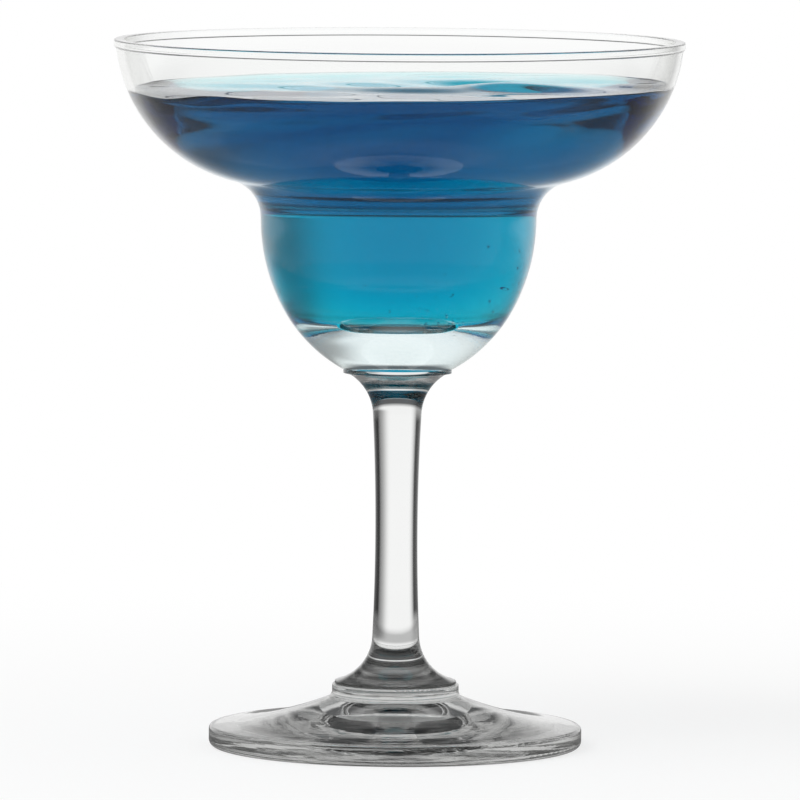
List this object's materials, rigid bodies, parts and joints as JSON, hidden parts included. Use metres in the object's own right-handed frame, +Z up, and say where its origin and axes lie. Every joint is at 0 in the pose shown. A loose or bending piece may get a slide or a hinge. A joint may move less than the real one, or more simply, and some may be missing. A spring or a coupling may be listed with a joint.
{
  "type": "margarita glass",
  "caption": "Clear stemmed glass with a wide shallow dish over a small rounded cup, on a slim stem and a sloping round foot, filled with a blue drink.",
  "frame": {"origin": "centre of the standing ring under the foot, on the table", "axes": "+Z up along the axis that every piece is turned about; the picture looks along +Y, with +X to the right"},
  "size_m": [0.1064, 0.1064, 0.1322],
  "materials": {
    "bowl_glass": "clear blown glass, fire-polished rim",
    "stem_glass": "clear pressed glass, fire-polished",
    "foot_glass": "clear pressed glass with faint chill ripples",
    "drink": "clear blue liquid"
  },
  "bodies": {
    "root": {"bowl": "bowl_glass", "stem": "stem_glass", "foot": "foot_glass", "drink": "drink"}
  },
  "joints": []
}
